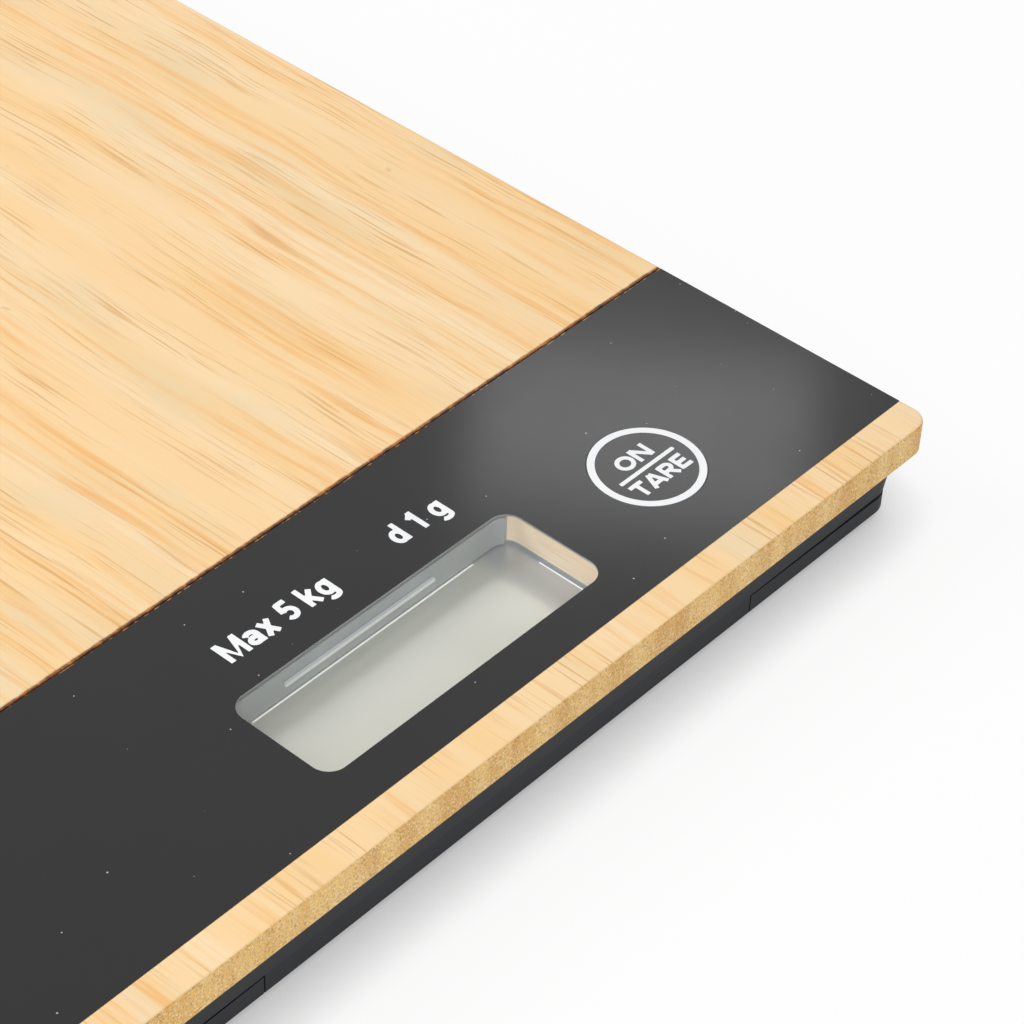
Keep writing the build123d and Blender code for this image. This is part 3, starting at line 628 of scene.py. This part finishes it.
# letters as pen strokes, in cap heights: each is its width and its strokes,
# and a stroke is a run of points (x, y) and of arcs (middle x, y, radii, from and to in degrees)
glyphs = {
    "M": (
        0.96,
        [[(0.1, 0), (0.1, 1)], [(0.12, 0.96), (0.48, 0.06), (0.84, 0.96)], [(0.86, 0), (0.86, 1)]],
    ),
    "a": (0.62, [[(0.3, 0.235, 0.19, 0.14, 0, 360)], [(0.3, 0.49, 0.21, 0.14, 160, 0), (0.51, 0)]]),
    "x": (0.6, [[(0.09, 0), (0.51, 0.72)], [(0.51, 0), (0.09, 0.72)]]),
    "k": (0.6, [[(0.1, 0), (0.1, 1)], [(0.14, 0.28), (0.5, 0.72)], [(0.25, 0.4), (0.52, 0)]]),
    "g": (
        0.62,
        [[(0.3, 0.36, 0.2, 0.27, 0, 360)], [(0.51, 0.72), (0.51, -0.05), (0.3, -0.06, 0.21, 0.13, 0, -155)]],
    ),
    "d": (0.62, [[(0.3, 0.36, 0.2, 0.27, 0, 360)], [(0.51, 0), (0.51, 1)]]),
    "5": (
        0.64,
        [[(0.56, 0.9), (0.17, 0.9)], [(0.2, 0.96), (0.14, 0.46)], [(0.32, 0.33, 0.22, 0.235, 140, -145)]],
    ),
    "1": (0.56, [[(0.36, 0), (0.36, 1)], [(0.38, 0.92), (0.12, 0.7)]]),
    "O": (0.88, [[(0.44, 0.5, 0.34, 0.4, 0, 360)]]),
    "N": (0.84, [[(0.1, 0), (0.1, 1)], [(0.13, 0.96), (0.71, 0.04)], [(0.74, 0), (0.74, 1)]]),
    "T": (0.72, [[(0, 0.9), (0.72, 0.9)], [(0.36, 0), (0.36, 0.9)]]),
    "A": (0.82, [[(0.07, 0), (0.38, 0.97)], [(0.75, 0), (0.44, 0.97)], [(0.2, 0.27), (0.62, 0.27)]]),
    "R": (
        0.74,
        [
            [(0.1, 0), (0.1, 1)],
            [(0.1, 0.9), (0.4, 0.9), (0.4, 0.68, 0.21, 0.22, 90, -90), (0.1, 0.46)],
            [(0.36, 0.44), (0.66, 0)],
        ],
    ),
    "E": (
        0.68,
        [
            [(0.1, 0), (0.1, 1)],
            [(0.1, 0.9), (0.62, 0.9)],
            [(0.1, 0.5), (0.58, 0.5)],
            [(0.1, 0.1), (0.64, 0.1)],
        ],
    ),
}

# screen-printed marks, white ink a hair thick, on the film and on the key
marks = {
    "ink": {"tones": ("F6F9FC", "FFFFFF"), "rough": 0.45, "cloud": 6, "grain": 0.3, "depth": 0.004},
    "height": 0.02,
    "lift": 0.001,
    "stroke": 0.21,
    "legendStroke": 0.25,
    "letterGap": 0.055,
    "space": 0.3,
    "penFacets": 2,
    "voxel": 0.022,
    "merge": 0.0001,
    "arcStep": 12,
    "capacity": [("Max 5 kg", -19.7, 0), ("d 1 g", 20.5, 1)],
    "capacityBase": 28.85,
    "capacityCap": 3.9,
    "legend": [("ON", 1.1, 1.26), ("TARE", -3.85, 1.22)],
    "legendCap": 2.75,
    "ringOuter": 16.1,
    "ringStroke": 1.05,
    "ringSides": 160,
    "barSize": (10.9, 0.62),
    "barCorner": 0.2,
    "cornerSteps": 4,
}
inkWhite = plainFinish("whiteScreenInk", **marks["ink"])
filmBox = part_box("panel_film")
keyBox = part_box("on_tare_key")
inkLevel = filmBox[1][2] + (marks["height"] / 2 + marks["lift"]) * mm
recessFront = filmBox[0][1] - recessGap
keyMiddle = ((keyBox[0][0] + keyBox[1][0]) / 2, (keyBox[0][1] + keyBox[1][1]) / 2)


def finishPiece(obj, name, body, material):
    obj.name = name
    obj.data.name = name
    deselectAll()
    obj.select_set(True)
    bpy.context.view_layer.objects.active = obj
    bpy.ops.object.transform_apply(location=True, rotation=True, scale=True)
    bpy.ops.object.mode_set(mode="EDIT")
    bpy.ops.mesh.select_all(action="SELECT")
    bpy.ops.mesh.remove_doubles(threshold=marks["merge"] * mm)
    bpy.ops.mesh.normals_make_consistent(inside=False)
    bpy.ops.object.mode_set(mode="OBJECT")
    paint(material, obj)
    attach(obj, body)


def strokePoints(items):
    points = []
    for item in items:
        if len(item) == 2:
            points.append(item)
            continue
        x, y, radiusX, radiusY, start, end = item
        steps = int(abs(end - start) / marks["arcStep"])
        for step in range(steps + 1):
            angle = math.radians(start + (end - start) * step / steps)
            points.append((x + radiusX * math.cos(angle), y + radiusY * math.sin(angle)))
    return points


# a word is drawn with a round pen, run together into one skin and pressed flat;
# its anchor is 0 for a word that starts at x, 0.5 for one centred there and 1 for one that ends there
def lettering(name, body, words, x, y, cap, stroke, anchor, wide=1.0):
    deselectAll()
    bpy.ops.curve.primitive_nurbs_path_add()
    obj = bpy.context.object
    pen = obj.data
    pen.splines.clear()
    pen.bevel_depth = stroke / 2
    pen.bevel_resolution = marks["penFacets"]
    pen.use_fill_caps = True
    reach = 0.0
    for letter in words:
        if letter == " ":
            reach += marks["space"]
            continue
        width, strokes = glyphs[letter]
        for items in strokes:
            points = strokePoints(items)
            closed = items[0][-2:] == (0, 360)
            if closed:
                points.pop()
            line = pen.splines.new("POLY")
            line.points.add(len(points) - 1)
            line.use_cyclic_u = closed
            for point, (across, up) in zip(line.points, points):
                point.co = ((reach + across) * wide, up, 0, 1)
        reach += width + marks["letterGap"]
    length = (reach - marks["letterGap"]) * wide
    bpy.ops.object.convert(target="MESH")
    obj = bpy.context.object
    skin = obj.modifiers.new("skin", "REMESH")
    skin.mode = "VOXEL"
    skin.voxel_size = marks["voxel"]
    bpy.ops.object.modifier_apply(modifier="skin")
    obj.scale = (cap * mm, cap * mm, marks["height"] * mm / stroke)
    obj.location = (x - anchor * length * cap * mm, y, inkLevel)
    finishPiece(obj, name, body, inkWhite)
    bpy.ops.object.shade_smooth()


for number, (words, x, anchor) in enumerate(marks["capacity"], 1):
    base = recessFront + marks["capacityBase"] * mm
    name = f"capacityMark{number}"
    lettering(name, "platform", words, x * mm, base, marks["capacityCap"], marks["stroke"], anchor)
for words, up, wide in marks["legend"]:
    base = keyMiddle[1] + up * mm
    name = "keyLegend" + words.title()
    cap, stroke = marks["legendCap"], marks["legendStroke"]
    lettering(name, "key", words, keyMiddle[0], base, cap, stroke, anchor=0.5, wide=wide)

# ring: a circle drawn in, then given the ink's thickness
deselectAll()
bpy.ops.mesh.primitive_circle_add(
    vertices=marks["ringSides"], radius=marks["ringOuter"] / 2 * mm, location=(*keyMiddle, inkLevel)
)
ring = bpy.context.object
bpy.ops.object.mode_set(mode="EDIT")
bpy.ops.mesh.select_all(action="SELECT")
bpy.ops.mesh.extrude_edges_move()
shrink = 1 - 2 * marks["ringStroke"] / marks["ringOuter"]
bpy.ops.transform.resize(value=(shrink, shrink, 1))
bpy.ops.object.mode_set(mode="OBJECT")
thick = ring.modifiers.new("ink", "SOLIDIFY")
thick.thickness = marks["height"] * mm
thick.offset = 0
bpy.ops.object.modifier_apply(modifier="ink")
finishPiece(ring, "keyRing", "key", inkWhite)


# a thin bar with rounded upright corners
def thinBar(name, middle, size, corner, body, material):
    deselectAll()
    bpy.ops.mesh.primitive_cube_add(size=1, location=middle, scale=tuple(side * mm for side in size))
    bar = bpy.context.object
    bpy.ops.object.transform_apply(location=False, rotation=False, scale=True)
    bpy.ops.object.mode_set(mode="EDIT")
    bpy.ops.mesh.select_mode(type="EDGE")
    bpy.ops.mesh.select_all(action="DESELECT")
    bpy.ops.object.mode_set(mode="OBJECT")
    for edge in bar.data.edges:
        low, high = (bar.data.vertices[i].co for i in edge.vertices)
        edge.select = abs(low.z - high.z) > size[2] * mm / 2
    bpy.ops.object.mode_set(mode="EDIT")
    bpy.ops.mesh.bevel(offset=corner * mm, segments=marks["cornerSteps"])
    bpy.ops.object.mode_set(mode="OBJECT")
    finishPiece(bar, name, body, material)


barLength, barWidth = marks["barSize"]
thinBar(
    "keyBar",
    (*keyMiddle, inkLevel),
    (barLength, barWidth, marks["height"]),
    marks["barCorner"],
    "key",
    inkWhite,
)
print("printed marks done")

# cut edges of the display's polariser, fine white lines at the foot of the well's rear and right walls, made
# to glow as a painted highlight:
# each line's middle from the window's middle, then its length across and along, 0 for its width
polariser = {
    "finish": {"tones": ("E4E6E4", "F4F5F3"), "rough": 0.4, "cloud": 3, "grain": 0.2, "depth": 0.004},
    "height": 0.06,
    "lift": 0.005,
    "width": 0.18,
    "corner": 0.06,
    "paintedEdgeGlow": 0.5,
    "lines": {"polariserRear": (-1.0, 8.62, 40.6, 0), "polariserRight": (25.62, -1.2, 0, 7.6)},
}
cutPolariser = plainFinish("cutPolariser", **polariser["finish"])
# painted highlight: the cut edge glows though it is no lamp, standing for the light a clear sheet pipes to
# its cut edge
edgeShader = cutPolariser.node_tree.nodes["Principled BSDF"]
edgeShader.inputs["Emission Strength"].default_value = polariser["paintedEdgeGlow"]
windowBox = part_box("display_window")
wellMiddle = [(windowBox[0][i] + windowBox[1][i]) / 2 for i in (0, 1)]
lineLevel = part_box("display_panel")[1][2] + (polariser["height"] / 2 + polariser["lift"]) * mm
for name, (dx, dy, across, along) in polariser["lines"].items():
    thinBar(
        name,
        (wellMiddle[0] + dx * mm, wellMiddle[1] + dy * mm, lineLevel),
        (across or polariser["width"], along or polariser["width"], polariser["height"]),
        polariser["corner"],
        "platform",
        cutPolariser,
    )
print("display edges done")

# floor, light and camera: the floor's size, the lamps and the camera's clip are in metres,
# each lamp with its place, aim, size and watts
stageSetup = {
    "floorSize": 6,
    "floorDrop": 0.2,
    "floorTone": "F7F7F7",
    "floorRoughness": 0.9,
    "floorGlow": 0.9,
    "shadowReach": 12,
    "shadowSamples": 16,
    "shadowFrom": (0.3, 0.92),
    "shadowTone": 0.45,
    "world": 0.45,
    "camera": (-222.94, -295.76, 301.19),
    "turn": (48.678, -2.031, -48.166),
    "lens": 116.096,
    "sensor": 36,
    "clip": (0.01, 20),
    "lamps": [
        ("keyLight", (-0.6, 0.8, 0.85), (0, -0.03, 0), (0.6, 0.6), 11.0),
        ("frontFill", (-0.7, -0.75, 0.5), (0, -0.05, 0), (0.7, 0.7), 4.6),
        ("filmSheen", (0.662, 0.376, 0.656), (0.05, -0.088, 0.016), (0.15, 0.075), 0.077),
    ],
}


# 1 for rays from the camera, mirrored or through glass, 0 for those that carry light
def seenRays(tree):
    path = addNode(tree, "LightPath")
    seen = path.outputs["Is Camera Ray"]
    for ray in ("Is Glossy Ray", "Is Transmission Ray"):
        seen = addNode(tree, "Math", {"operation": "MAXIMUM"}, {0: seen, 1: path.outputs[ray]}).outputs[0]
    return seen


deselectAll()
bpy.ops.mesh.primitive_plane_add(size=stageSetup["floorSize"], location=(0, 0, -stageSetup["floorDrop"] * mm))
floor = bpy.context.object
floor.name = "floor"
floorPaint, tree, shader = newMaterial("paleFloor")[:3]
shader.inputs["Base Color"].default_value = hexColor(stageSetup["floorTone"])
shader.inputs["Roughness"].default_value = stageSetup["floorRoughness"]
# the pale floor is seen white, darker where the object stands close over it
spread = {"samples": stageSetup["shadowSamples"], "Distance": stageSetup["shadowReach"] * mm}
near = addNode(tree, "AmbientOcclusion", spread)
low, high = stageSetup["shadowFrom"]
level = addNode(
    tree,
    "MapRange",
    {"From Min": low, "From Max": high, "To Min": stageSetup["shadowTone"]},
    {0: near.outputs["AO"]},
)
glow = addNode(tree, "Emission", None, {"Strength": level.outputs[0]})
share = addNode(
    tree, "Math", {"operation": "MULTIPLY", 1: stageSetup["floorGlow"]}, {0: seenRays(tree)}
)
blended = addNode(tree, "MixShader", None, {0: share.outputs[0], 1: shader.outputs[0], 2: glow.outputs[0]})
tree.links.new(blended.outputs[0], tree.nodes["Material Output"].inputs[0])
paint(floorPaint, floor)

world = bpy.data.worlds.new("studio")
bpy.context.scene.world = world
world.use_nodes = True
tree = world.node_tree
light = tree.nodes["Background"]
light.inputs[0].default_value = (1, 1, 1, 1)
light.inputs[1].default_value = stageSetup["world"]
white = addNode(tree, "Background", {0: (1, 1, 1, 1), 1: 1.0})
mixed = addNode(tree, "MixShader", None, {0: seenRays(tree), 1: light.outputs[0], 2: white.outputs[0]})
tree.links.new(mixed.outputs[0], tree.nodes["World Output"].inputs[0])

for name, place, target, (width, height), watts in stageSetup["lamps"]:
    deselectAll()
    bpy.ops.object.light_add(type="AREA", location=place)
    lamp = bpy.context.object
    lamp.name = name
    lamp.data.shape = "RECTANGLE"
    lamp.data.size = width
    lamp.data.size_y = height
    lamp.data.energy = watts
    aim = Vector(target) - Vector(place)
    lamp.rotation_euler = aim.to_track_quat("-Z", "Y").to_euler()

bpy.ops.object.camera_add(
    location=tuple(v * mm for v in stageSetup["camera"]),
    rotation=tuple(math.radians(v) for v in stageSetup["turn"]),
)
camera = bpy.context.object
camera.data.lens = stageSetup["lens"]
camera.data.sensor_width = stageSetup["sensor"]
camera.data.clip_start, camera.data.clip_end = stageSetup["clip"]
bpy.context.scene.camera = camera
bpy.context.scene.view_settings.view_transform = "Standard"
print("stage ready")
